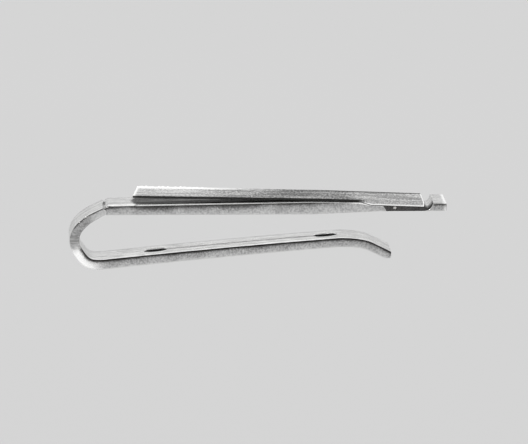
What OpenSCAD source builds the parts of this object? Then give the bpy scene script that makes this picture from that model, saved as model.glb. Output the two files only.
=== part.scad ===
// Sprung money clip: a thick front plate and a long back leg joined by a round bend, with a
// thin rocking leaf hinged near the plate's tip. The leaf pinches a card against the plate.
// The side profile lies in the XZ plane, and every strip is as wide as strip_w along Y.

/* [Overall] */
// Width of the plate, the bend, the back leg and the leaf
strip_w = 10; // [8:0.5:14]
// Length of the front plate, from the bend's seam to the tip
plate_len = 51.4; // [42:0.2:64]
// Height between the middle of the strip above and below the bend
bend_h = 8.2; // [7:0.1:10]

/* [Front plate] */
// Thickness of the plate at the bend
plate_root_t = 1.42; // [1.2:0.02:1.8]
// Thickness of the plate at its crown, where the leaf comes down to it
plate_crown_t = 1.92; // [1.7:0.02:2.4]
// Distance from the tip back to the crown
crown_back = 20; // [18:0.5:24]
// Thickness of the block at the tip
tip_t = 1.25; // [1:0.05:1.6]
// How far the underside rises towards the tip
tip_rise = 0.4; // [0:0.05:0.5]
// Length of the block at the tip
tip_block = 2; // [1.5:0.1:3]

/* [Bend and back leg] */
// Thickness of the bent strip where it meets the plate
bend_t = 1.1; // [1:0.05:1.3]
// Thickness of the strip where the back leg starts
leg_t = 1.55; // [1.3:0.05:1.9]
// Thickness of the strip at the end of the lip
lip_t = 1.4; // [1.2:0.05:1.8]
// Length of the back leg from the bend to its crown
leg_run = 35; // [28:0.2:42]
// Length of the lip past the crown
lip_len = 4.9; // [3:0.1:6]
// Turn of the lip down from the crown, in degrees
lip_turn = 17; // [10:1:30]
// Diameter of the two holes that end the slit
slit_hole_d = 3.6; // [2:0.1:4.5]
// Width of the slit
slit_w = 1; // [0.4:0.1:1.6]
// Length of the slit between the middles of the holes
slit_len = 25.7; // [18:0.1:28]
// Distance from the start of the back leg to the middle of the first hole
slit_start = 7.8; // [5:0.1:9]

/* [Leaf and hinge] */
// Thickness of the leaf
leaf_t = 0.35; // [0.3:0.01:0.5]
// Distance from the bend's seam to the free end of the leaf
leaf_setback = 4; // [2:0.2:8]
// Slope of the leaf's free part, in degrees
leaf_tilt = 1.15; // [0.8:0.05:1.5]
// Slope of the leaf past its knee, in degrees
knee_tilt = 2.2; // [1.8:0.05:2.6]
// Skew of the leaf's free end across its width, in degrees
end_skew = 5; // [0:1:8]
// Distance from the plate's tip to the hinge pin
hinge_back = 7.8; // [7:0.1:9]
// Height of the pin's middle above the underside of the tip
pin_height = 0.46; // [0.42:0.01:0.6]
// Diameter of the hinge pin
pin_d = 0.5; // [0.4:0.02:0.56]
// Outer diameter of the lug that the pin passes through
lug_d = 0.96; // [0.9:0.02:1.1]
// Width of the lug
lug_w = 3; // [2:0.1:4]
// Length of the folded ears along the leaf
ear_len = 8; // [6.5:0.1:9]
// Length over which the ears slope down from the leaf
ear_flare = 1.6; // [0.8:0.1:2.2]
// Depth of the folded ears, from the leaf's top face
ear_h = 0.72; // [0.5:0.02:0.8]
// Length of the heel past the pin
heel_len = 4.4; // [4:0.1:5]
// Opening angle of the leaf, in degrees
leaf_open = 7; // [4:0.5:7]
// Thickness of the bowed spring under the heel
spring_t = 0.1; // [0.08:0.01:0.12]
// Width of the bowed spring
spring_w = 3.2; // [2:0.1:4]
// Length of the bowed spring
spring_len = 2.8; // [2:0.1:3]

/* [Fits] */
// Radial clearance between the pin and the lug
pin_fit = 0.03; // [0.02:0.01:0.06]
// Clearance between the leaf and the plate
leaf_gap = 0.06; // [0.04:0.01:0.1]
// Clearance beside the ears, the lug and the spring
side_gap = 0.08; // [0.05:0.01:0.12]
// Gap between the leaf and the plate's crown at the knee
knee_gap = 0.12; // [0.08:0.01:0.3]

/* [Hidden] */
$fn = 48;
facet_turn = 4;       // turn of one flat along a round stretch, in degrees
rebate_lip = 0.05;    // wall left under the side pockets
swing_slant = 0.5;    // slant of the pocket's start below the ear
over = 0.5;           // how far a cut runs past the face that it opens
tall = 20;            // larger than any thickness, for cuts right through

// The bend as tangent arcs, each [length, turn], from the plate's seam down and round
bend_steps = [[2.3, 2.5], [2.7, 22], [3.2, 65.5], [2.2, 17.5], [1.4, 39.5], [1.9, 13]];
bend_heading = 206;
lead_in = 1.2;        // stretch of strip drawn past the seam, then cut off square
bend_taper = 0.5;     // share of the bend over which the strip thickens
seam_rise = 0.67;     // from the plate's underside up to the middle of the strip at the seam

// The back leg after the bend: a slow bow, a rounded crown and the lip
leg_steps = [[leg_run, -1.7], [1.2, -5.5], [2.6, -8], [1.6, -lip_turn], [lip_len - 1.6, 0]];
lip_flat = 0.2;       // from the middle of the lip's end down to the flat filed under it

silver = "#c6c8c8";
dull = "#a9abab";
bright = "#dcdddd";

// Point at distance s along an arc of length l and turn t that leaves p with heading a
function along(p, a, l, t, s) =
    abs(t) < 0.01 ? p + s * [cos(a), sin(a)]
    : let (r = l * 180 / (PI * t), b = a + t * s / l) p + r * [sin(b) - sin(a), cos(a) - cos(b)];

// Places [point, heading] along a chain of tangent arcs
function walk(p, a, steps, i = 0) =
    i == len(steps) ? [[p, a]]
    : let (l = steps[i][0], t = steps[i][1], n = max(1, ceil(abs(t) / facet_turn)))
        concat([for (k = [0 : n - 1]) [along(p, a, l, t, l * k / n), a + t * k / n]],
               walk(along(p, a, l, t, l), a + t, steps, i + 1));

function last(v) = v[len(v) - 1];
function beside(place, d) = place[0] + d * [-sin(place[1]), cos(place[1])];

// Outline of a strip whose thickness goes from t0 to t1 over the first share of a path
function strip_outline(path, t0, t1, share = 1) =
    let (n = len(path) - 1, half = [for (k = [0 : n]) (t0 + (t1 - t0) * min(1, k / n / share)) / 2])
        concat([for (k = [0 : n]) beside(path[k], half[k])],
               [for (k = [n : -1 : 0]) beside(path[k], -half[k])]);

// The profile is drawn first with X = 0 at the seam and Z = 0 at the plate's underside
bend_scale = -bend_h / last(walk([0, 0], bend_heading, bend_steps))[0][1];
scaled_steps = [for (s = bend_steps) [s[0] * bend_scale, s[1]]];
bend_from = [0, seam_rise];
lead_from = bend_from - lead_in * [cos(bend_heading), sin(bend_heading)];
bend_path = walk(lead_from, bend_heading, concat([[lead_in, 0]], scaled_steps));
bend_end = last(bend_path);
leg_path = walk(bend_end[0], bend_end[1], leg_steps);
bend_outline = strip_outline(bend_path, bend_t, leg_t, bend_taper);
leg_outline = strip_outline(leg_path, leg_t, lip_t);
lip_end = last(leg_path)[0];

// Levels and places, measured from the plate's underside at the seam
tip_x = plate_len;
tip_z = tip_rise;
crown_x = tip_x - crown_back;
wall_x = tip_x - tip_block;
hinge_x = tip_x - hinge_back;
hinge_z = tip_z + pin_height;
heel_x = hinge_x + heel_len;
ear_x = heel_x - ear_len;
swing_x = hinge_x - 1.8;
pocket_floor = tip_z + rebate_lip;
knee_x = crown_x + 1;
knee_z = plate_crown_t + knee_gap;
free_x = leaf_setback;

// Underside of the leaf at rest, on each side of its knee
function under(x) = knee_z - (x - knee_x) * tan(x < knee_x ? leaf_tilt : knee_tilt);

// A point turned about the hinge by a degrees, the way the leaf opens
function opened(p, a) =
    let (d = p - [hinge_x, hinge_z])
        [hinge_x + d[0] * cos(a) + d[1] * sin(a), hinge_z - d[0] * sin(a) + d[1] * cos(a)];

// Slope of the plate's seat below the heel when the leaf is fully open
relief_turn = knee_tilt + leaf_open;
relief_from = opened([hinge_x, under(hinge_x)], leaf_open) - [0, leaf_gap];
function relief(x) = relief_from[1] - (x - relief_from[0]) * tan(relief_turn);

// The row's frame has its origin under the middle of the whole clip
all_x = [for (p = concat(bend_outline, leg_outline)) p[0]];
all_z = [for (p = concat(bend_outline, leg_outline)) p[1]];
origin_shift = [-(min(all_x) + max(tip_x, max(all_x))) / 2, 0, -min(all_z)];

// Draws a side profile as a solid w wide, centred on Y = 0, in the row's frame
module strip(w) {
    translate(origin_shift) rotate([90, 0, 0]) linear_extrude(w, center = true) children();
}

// Moves a shape from the profile's frame into the row's frame
module placed() {
    translate(origin_shift) children();
}

// A round bar across the clip with its middle at the hinge
module hinge_bar(r, w) {
    placed() translate([hinge_x, 0, hinge_z]) rotate([90, 0, 0]) cylinder(r = r, h = w, center = true);
}

// Side profile of the plate before its seat, rebates and window are cut
module plate_profile() {
    polygon([[0, 0], [crown_x, 0], [tip_x - crown_back / 2, tip_z], [tip_x, tip_z],
             [tip_x, tip_z + tip_t], [crown_x, plate_crown_t], [0, plate_root_t]]);
}

// Keeps a cut above the pocket's floor, with a quarter-round end under the tip block
module within_pocket() {
    r = wall_x - heel_x;
    intersection() {
        union() {
            translate([heel_x - plate_len, pocket_floor]) square([plate_len, tall]);
            translate([heel_x, pocket_floor + r]) circle(r);
            translate([heel_x, pocket_floor + r]) square([r, tall]);
        }
        children();
    }
}

// What the leaf sweeps above the plate, from its knee to the wall of the tip block
module seat_profile() {
    polygon([[knee_x, under(knee_x) - leaf_gap], [relief_from[0], relief_from[1] - leaf_gap],
             [wall_x, relief(wall_x) - leaf_gap], [wall_x, tall], [knee_x, tall]]);
}

// Side pocket for an ear: its own outline at rest, and below it the room that the heel
// swings down into, which starts with a slant
module rebate_profile() {
    drop = ear_h - leaf_t + side_gap;
    start_x = ear_x - side_gap;
    flare_x = start_x - ear_flare;
    polygon([[flare_x, under(flare_x) - side_gap], [start_x, under(start_x) - drop],
             [swing_x, under(swing_x) - drop], [swing_x + swing_slant, pocket_floor],
             [wall_x, pocket_floor], [wall_x, tall], [flare_x, tall]]);
}

module front_plate() {
    core_w = strip_w - 2 * (leaf_t + side_gap);
    window_w = lug_w + 2 * side_gap;
    window_r = lug_d / 2 + side_gap;
    color(silver) difference() {
        strip(strip_w) plate_profile();
        strip(strip_w + 2 * over) within_pocket() seat_profile();
        for (side = [-1, 1])
            translate([0, side * (core_w + tall) / 2, 0]) strip(tall) within_pocket() rebate_profile();
        placed() translate([hinge_x - window_r, -window_w / 2, -over])
            cube([2 * window_r, window_w, tall]);
        strip(spring_w + 2 * side_gap) spring_pocket_profile();
        hinge_bar(pin_d / 2, strip_w + 2 * over);
    }
}

// Where the bowed spring lies on the heel's slope
spring_from = hinge_x + 1.1;
spring_rise = 0.16;
pocket_depth = spring_t + leaf_gap;

module on_relief(x) {
    translate([x, relief(x) - leaf_gap]) rotate(-relief_turn) children();
}

module spring_pocket_profile() {
    on_relief(spring_from)
        translate([-side_gap, -pocket_depth]) square([spring_len + 2 * side_gap, tall]);
}

// Shallow arc of spring strip, its two ends on the pocket's floor
module leaf_spring() {
    half = spring_len / 2;
    r = (half * half + spring_rise * spring_rise) / (2 * spring_rise);
    span = asin(half / r);
    arc_path = walk([0, 0], span, [[2 * r * span * PI / 180, -2 * span]]);
    lift = spring_t / 2 * cos(span);
    color(bright) strip(spring_w) on_relief(spring_from) translate([0, lift - pocket_depth])
        polygon(strip_outline(arc_path, spring_t, spring_t));
}

module bend_spring() {
    color(silver) difference() {
        strip(strip_w) polygon(bend_outline);
        strip(strip_w + 2 * over) translate([0, -tall / 2]) square(tall);
    }
}

// Draws its children at a distance along the back leg, square to the leg's face
module on_leg(s) {
    a = bend_end[1] + leg_steps[0][1] * s / leg_run;
    p = along(bend_end[0], bend_end[1], leg_run, leg_steps[0][1], s);
    placed() translate([p[0], 0, p[1]]) rotate([0, -a, 0]) children();
}

module back_leg() {
    color(silver) difference() {
        strip(strip_w) polygon(leg_outline);
        for (s = [slit_start, slit_start + slit_len])
            on_leg(s) cylinder(d = slit_hole_d, h = tall, center = true);
        on_leg(slit_start + slit_len / 2) cube([slit_len, slit_w, leg_t + 2 * over], center = true);
        strip(strip_w + 2 * over) lip_cut_profile();
    }
}

// What is filed off the end of the lip: all past a square end, and all below a short flat
module lip_cut_profile() {
    translate([lip_end[0], lip_end[1] - tall / 2]) square(tall);
    translate([lip_end[0] - tall / 2, lip_end[1] - lip_flat - tall]) square(tall);
}

// Side profile of the leaf's web, from its free end over the knee to the heel
module web_profile() {
    polygon([[free_x, under(free_x)], [knee_x, knee_z], [heel_x, under(heel_x)],
             [heel_x, under(heel_x) + leaf_t], [knee_x, knee_z + leaf_t], [free_x, under(free_x) + leaf_t]]);
}

// Side profile of one folded ear
module ear_profile() {
    drop = ear_h - leaf_t;
    flare_x = ear_x - ear_flare;
    polygon([[flare_x, under(flare_x)], [ear_x, under(ear_x) - drop], [heel_x, under(heel_x) - drop],
             [heel_x, under(heel_x) + leaf_t / 2], [flare_x, under(flare_x) + leaf_t / 2]]);
}

// Side profile of the lug between the web and the pin
module lug_profile() {
    translate([hinge_x, hinge_z]) circle(d = lug_d);
    translate([hinge_x - lug_d / 2, hinge_z])
        square([lug_d, under(hinge_x) - hinge_z + leaf_t / 2]);
}

module top_leaf() {
    skew_cut = strip_w * tan(end_skew);
    color(dull) difference() {
        union() {
            strip(strip_w) web_profile();
            for (side = [-1, 1])
                translate([0, side * (strip_w - leaf_t) / 2, 0]) strip(leaf_t) ear_profile();
            strip(lug_w) lug_profile();
        }
        placed() translate([free_x, -strip_w / 2, 0]) rotate([0, 0, -end_skew])
            translate([-2 * skew_cut - over, -strip_w / 2, 0]) cube([2 * skew_cut + over, 2 * strip_w, tall]);
        hinge_bar(pin_d / 2 + pin_fit, lug_w + 2 * over);
    }
}

module hinge_pin() {
    color(bright) hinge_bar(pin_d / 2, strip_w - 2 * (leaf_t + side_gap));
}

front_plate();
bend_spring();
back_leg();
top_leaf();
leaf_spring();
hinge_pin();
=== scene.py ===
"""Sprung money clip: a slotted spring strip, a thick front plate and a thin rocking leaf.

Every piece is a grid of points worked out with numpy. Sizes are in millimetres inside the
classes, and they become metres when a mesh is made. In the profile frame, x = 0 is the seam
between the bend and the plate, and z = 0 is the plate's underside at that seam.
"""
import logging
import math
from dataclasses import dataclass
from enum import Enum

import bmesh
import bpy
import numpy as np
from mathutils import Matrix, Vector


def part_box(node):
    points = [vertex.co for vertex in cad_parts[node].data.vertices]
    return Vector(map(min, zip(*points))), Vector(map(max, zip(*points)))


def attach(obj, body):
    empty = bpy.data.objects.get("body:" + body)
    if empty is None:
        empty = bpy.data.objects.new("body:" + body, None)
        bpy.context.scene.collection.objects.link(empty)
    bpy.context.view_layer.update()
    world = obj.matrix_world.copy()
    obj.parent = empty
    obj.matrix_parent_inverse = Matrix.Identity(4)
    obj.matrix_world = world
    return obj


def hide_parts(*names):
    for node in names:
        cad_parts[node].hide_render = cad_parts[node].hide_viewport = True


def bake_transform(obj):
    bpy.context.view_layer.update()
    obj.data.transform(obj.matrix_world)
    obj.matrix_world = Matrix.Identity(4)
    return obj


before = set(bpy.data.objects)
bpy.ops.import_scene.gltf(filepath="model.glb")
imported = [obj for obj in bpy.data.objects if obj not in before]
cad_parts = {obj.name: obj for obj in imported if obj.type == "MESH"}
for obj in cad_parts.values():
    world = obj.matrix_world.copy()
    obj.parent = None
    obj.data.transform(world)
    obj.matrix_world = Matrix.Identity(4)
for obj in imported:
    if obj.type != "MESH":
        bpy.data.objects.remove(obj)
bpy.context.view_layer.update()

MM = 0.001
SHARP_TURN = math.radians(40)
# In metres: points nearer than MERGE become one, and edges shorter than SLIVER are dissolved.
# The points of a rough seam are welded with each reach of WELDS in turn. An edge with more than
# two faces is collapsed if it is shorter than PINCH times that reach.
MERGE = 4e-7
SLIVER = 1e-7
WELDS = (4e-7, 2e-6, 8e-6, 2e-5, 5e-5)
PINCH = 5
# A rounded corner takes at most this share of an edge.
LONGEST_CUT = 0.49
# Each sine of a filed edge is this many times shorter and lower than the last.
WAVE_STEP = 1.6
# The grain of a mirrored half is moved by this many millimetres, so that the halves differ.
FAR_SHIFT = 31.7
# A height above the whole clip, which stands for "no cut here".
NO_CUT = 99.0
Span = tuple[float, float]
LOG = logging.getLogger("money_clip")


class Slot(Enum):
    """Material slots of the record that the pieces take their finish from."""

    POLISHED = "polished_silver"
    BRUSHED = "brushed_silver"
    STEEL = "spring_steel"


class Body(Enum):
    """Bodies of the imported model."""

    PLATE = "plate"
    LEG = "leg"
    LEAF = "leaf"


# ---------------------------------------------------------------- numbers along a length


def ease(x: np.ndarray, low: float, high: float) -> np.ndarray:
    """Goes smoothly from 0 at low to 1 at high, as 3t^2 - 2t^3 of the share of the way.

    Args:
        x: Values to ease.
        low: Value where the result is 0.
        high: Value where the result is 1.

    Returns:
        Values between 0 and 1, shaped like x.
    """
    t = np.clip((x - low) / (high - low), 0.0, 1.0)
    return t * t * (3.0 - 2.0 * t)


def waves(x: np.ndarray, seed: int, longest: float, count: int = 7) -> np.ndarray:
    """Gives the gentle wander that hand filing leaves along an edge.

    Args:
        x: Places along the length, in millimetres.
        seed: Seed of the phases.
        longest: Longest wavelength, in millimetres.
        count: Number of sines summed, each shorter and lower than the last by WAVE_STEP.

    Returns:
        The sum, between about -1 and 1.
    """
    rng = np.random.default_rng(seed)
    steps = WAVE_STEP ** np.arange(count)
    phases = rng.uniform(0, 2 * np.pi, count)
    sines = np.sin(2 * np.pi * x[..., None] * steps / longest + phases)
    return (sines / steps).sum(-1) / (1.0 / steps).sum()


@dataclass(frozen=True)
class Wander:
    """The uneven line of a filed edge: its size, its seed and its longest wavelength."""

    size: float
    seed: int
    longest: float

    def at(self, x: np.ndarray) -> np.ndarray:
        """Gives the wander at places along the length, up to about the size either way."""
        return self.size * waves(x, self.seed, self.longest)


@dataclass(frozen=True)
class Band:
    """A stretch that eases in between two places and out between two others."""

    start: float
    full: float
    leaving: float
    gone: float

    def at(self, x: np.ndarray, x_out: np.ndarray | None = None) -> np.ndarray:
        """Gives 1 inside the band and 0 outside it.

        Args:
            x: Places.
            x_out: Places for the way out, where they differ.

        Returns:
            Values between 0 and 1.
        """
        fall = ease(x if x_out is None else x_out, self.leaving, self.gone)
        return ease(x, self.start, self.full) * (1 - fall)


def towards(y: np.ndarray, side: np.ndarray, start: float, full: float) -> np.ndarray:
    """Rises towards a side face, from 0 at start in front of it to 1 at full in front of it.

    Args:
        y: Crosswise places, as (rows, columns).
        side: Where the face is at each row.
        start: Distance from the face where the result is 0.
        full: Distance from the face where it is 1.

    Returns:
        Values between 0 and 1.
    """
    return ease(y, side[:, None] - start, side[:, None] - full)


def soft_min(a: np.ndarray, b: np.ndarray, reach: float) -> np.ndarray:
    """Takes the smaller of two values, rounded off where they cross.

    Args:
        a: First values.
        b: Second values.
        reach: How wide the rounding is.

    Returns:
        -reach * log(exp(-a / reach) + exp(-b / reach)).
    """
    return -reach * np.logaddexp(-a / reach, -b / reach)


def stations(*stretches: tuple[float, float, int]) -> np.ndarray:
    """Places rows along a length, closer together at the two ends of each stretch.

    Args:
        *stretches: First place, last place and number of steps of each stretch.

    Returns:
        Sorted places. Inside a stretch they go as (1 - cos) / 2 does over half a turn.
    """
    parts = [a + (b - a) * (1 - np.cos(np.linspace(0, np.pi, n + 1))) / 2 for a, b, n in stretches]
    return np.unique(np.round(np.concatenate(parts), 4))


# ---------------------------------------------------------------- paths and outlines


@dataclass(frozen=True)
class Path:
    """A path in the side plane made of tangent arcs, each given as (length, turn in degrees)."""

    start: Span
    heading: float
    arcs: tuple[Span, ...]
    blur: float = 0.2
    step: float = 0.01

    def at(self, s: np.ndarray) -> tuple[np.ndarray, np.ndarray]:
        """Finds points and left-hand normals at distances along the path.

        The heading changes evenly along each arc and is blurred a little by a bell curve. The
        place is the running sum of short steps taken along that heading.

        Args:
            s: Distances from the start, in millimetres.

        Returns:
            Points and unit normals, each shaped like s with a last axis of (x, z).
        """
        ends = np.cumsum([0.0] + [length for length, _ in self.arcs])
        turns = np.cumsum([0.0] + [turn for _, turn in self.arcs])
        fine = np.arange(0.0, ends[-1] + self.step, self.step)
        reach = int(3 * self.blur / self.step)
        bell = np.exp(-0.5 * (np.arange(-reach, reach + 1) * self.step / self.blur) ** 2)
        padded = np.pad(np.interp(fine, ends, turns), reach, mode="reflect", reflect_type="odd")
        heading = np.radians(self.heading + np.convolve(padded, bell / bell.sum(), "valid"))
        x = self.start[0] + np.cumsum(np.append(0.0, np.cos(heading[:-1]) * self.step))
        z = self.start[1] + np.cumsum(np.append(0.0, np.sin(heading[:-1]) * self.step))
        turn = np.interp(s, fine, heading)
        normal = np.stack([-np.sin(turn), np.cos(turn)], -1)
        return np.stack([np.interp(s, fine, x), np.interp(s, fine, z)], -1), normal


@dataclass(frozen=True)
class Corner:
    """One corner of a half cross-section at every row: its place, rounding and what follows."""

    y: np.ndarray | float
    z: np.ndarray | float
    round: np.ndarray | float = 0.0
    steps: int = 4


def outline(corners: list[Corner], rows: int, turns: int = 7) -> tuple[np.ndarray, np.ndarray]:
    """Draws a closed half cross-section through rounded corners at every row.

    A rounded corner is the curve (1-t)^2 A + 2t(1-t) P + t^2 B, where P is the corner and A and
    B lie on its two edges, at the rounding's distance from P or at LONGEST_CUT of a shorter edge.

    Args:
        corners: Corners in order. The last edge goes back to the first corner.
        rows: Number of rows.
        turns: Number of steps round each corner.

    Returns:
        Points as (rows, columns, 2), and for each column the index of the edge it starts.
    """
    p = np.stack([np.stack(np.broadcast_arrays(np.zeros(rows) + c.y, np.zeros(rows) + c.z), -1)
                  for c in corners], 1)
    radius = np.stack([np.zeros(rows) + c.round for c in corners], 1)
    ahead = np.roll(p, -1, 1) - p
    length = np.linalg.norm(ahead, axis=-1)
    unit = ahead / np.maximum(length, 1e-9)[..., None]
    shortest = np.minimum(length, np.roll(length, 1, 1))
    cut = np.minimum(radius, LONGEST_CUT * shortest)[..., None]
    first, second = p - cut * np.roll(unit, 1, 1), p + cut * unit
    t = np.linspace(0, 1, turns + 1)[None, :, None]
    columns, edges = [], []
    for k, corner in enumerate(corners):
        a, b, top = first[:, k, None], second[:, k, None], p[:, k, None]
        bend = (1 - t) ** 2 * a + 2 * t * (1 - t) * top + t ** 2 * b
        u = np.linspace(0, 1, corner.steps + 1)[None, 1:-1, None]
        straight = b + (first[:, (k + 1) % len(corners), None] - b) * u
        columns += [bend, straight]
        edges += [k] * (bend.shape[1] + straight.shape[1])
    return np.concatenate(columns, 1), np.array(edges)


def painted_edge_line(depth: np.ndarray, along: np.ndarray, reach: np.ndarray | float, strength: float,
          seed: int) -> np.ndarray:
    """Finds the painted shade below an edge: a dark line that stands in for the edge's dark
    reflection.

    Args:
        depth: Distance below the edge, in millimetres.
        along: Distance along the edge.
        reach: Depth over which the line fades.
        strength: How dark it is, from 0 to 1.
        seed: Seed of its wander.

    Returns:
        (1 - strength * exp(-(depth / reach)^2))^2, with a reach that wanders along the edge.
    """
    wander = reach * (1 + Wander(0.35, seed, 11.0).at(along))
    thinnest = 0.02
    return (1 - strength * np.exp(-((depth / np.maximum(wander, thinnest)) ** 2))) ** 2


def middle_wall(edge: np.ndarray, slot: np.ndarray) -> np.ndarray:
    """Finds the quads on the middle plane, which would be a wall inside the metal.

    Args:
        edge: Index of the edge that each column starts. The last edge is the one at the middle.
        slot: Half width of the slot at each row, 0 where there is none.

    Returns:
        True for each quad to leave out, as (rows - 1, columns).
    """
    closed = (slot[:-1] == 0) & (slot[1:] == 0)
    return closed[:, None] & (edge == edge.max())[None]


# ---------------------------------------------------------------- meshes


@dataclass
class Grid:
    """A grid of points, closed across its columns, with what the finish needs at each point."""

    points: np.ndarray
    along: np.ndarray
    across: np.ndarray
    side: np.ndarray
    # Painted shade, 1 where there is none, and painted highlight, 0 where there is none.
    shade: np.ndarray
    painted_highlight: np.ndarray
    skip: np.ndarray

    @staticmethod
    def from_loops(x: np.ndarray, y: np.ndarray, z: np.ndarray, along: np.ndarray,
                   shade: np.ndarray | float = 1.0, painted_highlight: np.ndarray | float = 0.0,
                   skip: np.ndarray | None = None) -> "Grid":
        """Makes a grid from loops of points.

        Args:
            x: Lengthwise places, as (rows, columns).
            y: Crosswise places.
            z: Heights.
            along: Distance along the piece, for its finish.
            shade: Painted shade, from 0 for fully shaded to 1 for none.
            painted_highlight: How much painted highlight it gets, from 0 to 1.
            skip: Quads to leave out, as (rows - 1, columns).

        Returns:
            The grid, with the distance round the loop and how far each point faces sideways.
        """
        step_y = np.roll(y, -1, 1) - np.roll(y, 1, 1)
        step_z = np.roll(z, -1, 1) - np.roll(z, 1, 1)
        run = np.hypot(y - np.roll(y, 1, 1), z - np.roll(z, 1, 1))
        side = np.abs(step_z) / np.maximum(np.abs(step_y) + np.abs(step_z), 1e-9)
        skipped = np.zeros((x.shape[0] - 1, x.shape[1]), bool) if skip is None else skip
        return Grid(np.stack([x, y, z], -1), along + 0 * x, np.cumsum(run, 1), side,
                    shade + 0 * x, painted_highlight + 0 * x, skipped)

    def mirrored(self) -> "Grid":
        """Gives the same grid on the other side of the middle plane."""
        return Grid(self.points * [1, -1, 1], self.along, self.across + FAR_SHIFT, self.side,
                    self.shade, self.painted_highlight, self.skip)

    def quads(self, offset: int) -> np.ndarray:
        """Joins neighbouring points into quads.

        Args:
            offset: Index of this grid's first point in the mesh.

        Returns:
            Point indices as (count, 4).
        """
        n, m = self.points.shape[:2]
        i, j = np.meshgrid(np.arange(n - 1), np.arange(m), indexing="ij")
        k = (j + 1) % m
        quads = np.stack([i * m + j, (i + 1) * m + j, (i + 1) * m + k, i * m + k], -1)
        return quads[~self.skip] + offset


def close_mesh(mesh: bpy.types.Mesh) -> int:
    """Joins a mesh's grids, closes what is open and turns the faces outwards.

    Args:
        mesh: The mesh.

    Returns:
        Number of edges that still don't have exactly two faces.
    """
    work = bmesh.new()
    work.from_mesh(mesh)
    bmesh.ops.remove_doubles(work, verts=work.verts, dist=MERGE)
    bmesh.ops.dissolve_degenerate(work, edges=work.edges, dist=SLIVER)
    for reach in WELDS:
        rough = {v for e in work.edges if not e.is_manifold for v in e.verts}
        bmesh.ops.remove_doubles(work, verts=list(rough), dist=reach)
        pinched = [e for e in work.edges
                   if len(e.link_faces) > 2 and e.calc_length() < reach * PINCH]
        bmesh.ops.collapse(work, edges=pinched)
        bmesh.ops.dissolve_degenerate(work, edges=work.edges, dist=SLIVER)
        open_edges = [e for e in work.edges if e.is_boundary]
        bmesh.ops.holes_fill(work, edges=open_edges, sides=0)
    bmesh.ops.recalc_face_normals(work, faces=work.faces)
    left_open = sum(not e.is_manifold for e in work.edges)
    work.to_mesh(mesh)
    work.free()
    return left_open


def make_piece(name: str, grids: list[Grid], origin: np.ndarray) -> bpy.types.Object:
    """Puts grids into one closed mesh object.

    Args:
        name: Name of the piece.
        grids: Grids in the profile frame, in millimetres.
        origin: Where the profile frame's origin lies in the row frame, in millimetres.

    Returns:
        The new object, smooth except across sharp turns, with its finish attributes.
    """
    counts = [g.points.shape[0] * g.points.shape[1] for g in grids]
    points = np.concatenate([g.points.reshape(-1, 3) for g in grids])
    quads = np.concatenate([g.quads(sum(counts[:k])) for k, g in enumerate(grids)])
    mesh = bpy.data.meshes.new(name)
    mesh.vertices.add(len(points))
    mesh.vertices.foreach_set("co", ((points + origin) * MM).astype(np.float32).ravel())
    mesh.loops.add(quads.size)
    mesh.loops.foreach_set("vertex_index", quads.astype(np.int32).ravel())
    mesh.polygons.add(len(quads))
    mesh.polygons.foreach_set("loop_start", np.arange(0, quads.size, 4, dtype=np.int32))
    mesh.update(calc_edges=True)
    # The shade attribute carries painted shade and the highlight attribute painted highlight.
    for label in ("along", "across", "side", "shade", "painted_highlight"):
        layer = mesh.attributes.new(label, "FLOAT", "POINT")
        values = np.concatenate([getattr(g, label).ravel() for g in grids])
        layer.data.foreach_set("value", values.astype(np.float32))
    left_open = close_mesh(mesh)
    mesh.shade_smooth()
    mesh.set_sharp_from_angle(angle=SHARP_TURN)
    obj = bpy.data.objects.new(name, mesh)
    bpy.context.scene.collection.objects.link(obj)
    LOG.info("%s: %d points, %d faces, %d open edges", name, len(mesh.vertices),
             len(mesh.polygons), left_open)
    return obj


# ---------------------------------------------------------------- finishes


@dataclass(frozen=True)
class Grain:
    """A noise: blotches per millimetre, its seed, its finer layers and the range it mostly has."""

    along: float
    across: float
    seed: float
    detail: float = 3.0
    span: Span = (0.36, 0.64)


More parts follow.
